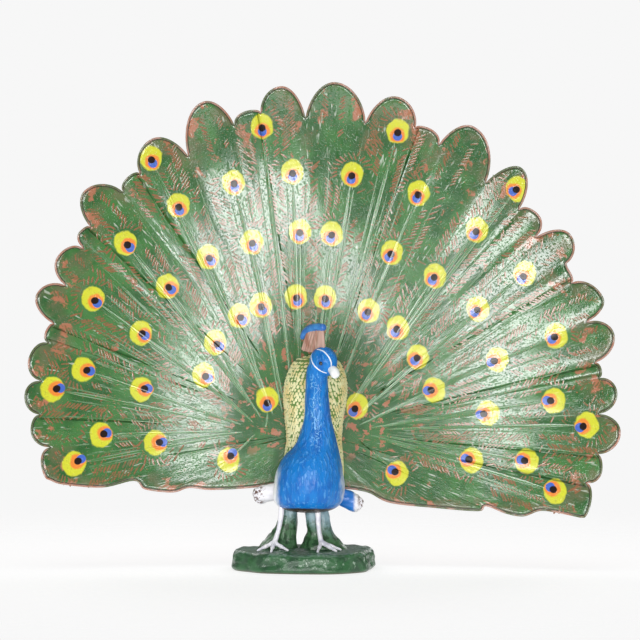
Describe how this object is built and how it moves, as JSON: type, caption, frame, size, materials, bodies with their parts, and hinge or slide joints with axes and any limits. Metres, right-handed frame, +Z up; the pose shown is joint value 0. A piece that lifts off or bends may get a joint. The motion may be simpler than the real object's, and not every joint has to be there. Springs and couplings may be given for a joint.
{
  "type": "peacock figurine",
  "caption": "Small painted plastic figurine of a peacock on a grassy base, displaying its raised and cupped train of eye-spotted feathers.",
  "frame": {"origin": "middle of the base's flat underside", "axes": "+Z up, -Y towards the viewer whom the bird faces, +X to that viewer's right"},
  "size_m": [0.1298, 0.0277, 0.1069],
  "materials": {
    "bird_paint": "semi-gloss painted soft plastic: blue bird, pale yellow back, white legs and green base",
    "train_paint": "semi-gloss terracotta plastic painted green on its front, with yellow, orange and blue eye spots"
  },
  "bodies": {
    "root": {"bird_on_base": "bird_paint", "train": "train_paint"}
  },
  "joints": []
}
